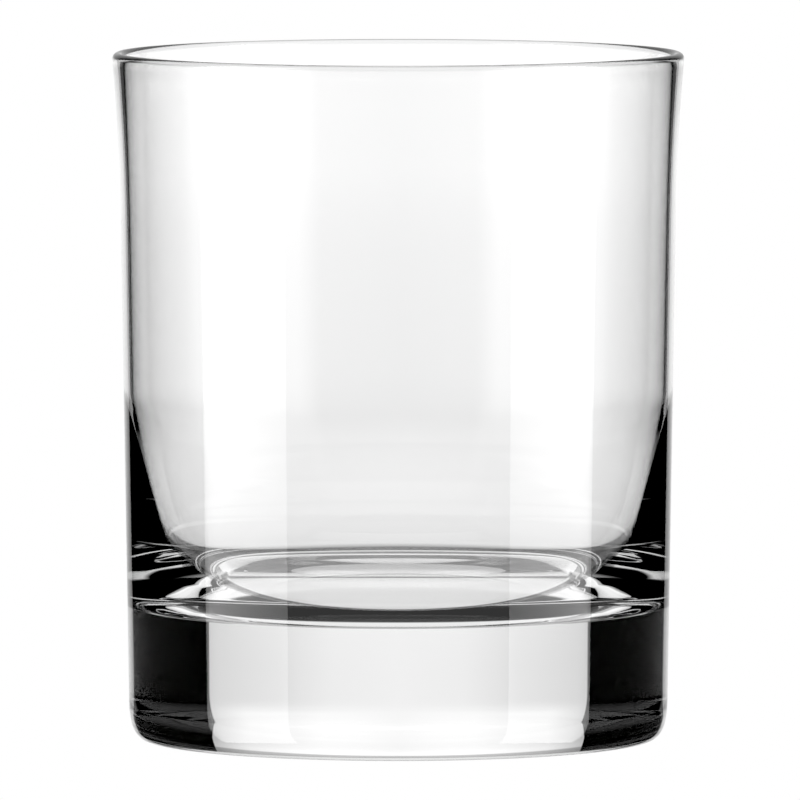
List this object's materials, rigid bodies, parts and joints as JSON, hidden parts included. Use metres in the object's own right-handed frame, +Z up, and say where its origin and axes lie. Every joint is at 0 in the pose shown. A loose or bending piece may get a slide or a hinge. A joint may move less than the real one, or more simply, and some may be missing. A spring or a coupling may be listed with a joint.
{
  "type": "whiskey tumbler",
  "caption": "Clear glass double old-fashioned tumbler with a heavy solid base, a thin tapered wall and a gently flared, fire-polished rim.",
  "frame": {"origin": "on the glass's axis, in the plane that the foot stands on", "axes": "+Z up along the axis, from the foot to the rim; the glass is a body of revolution, so X and Y are free"},
  "size_m": [0.0848, 0.0848, 0.102],
  "materials": {
    "clear_glass": "polished"
  },
  "bodies": {
    "root": {"heavy_base": "clear_glass", "side_wall": "clear_glass", "rim_bead": "clear_glass"}
  },
  "joints": []
}
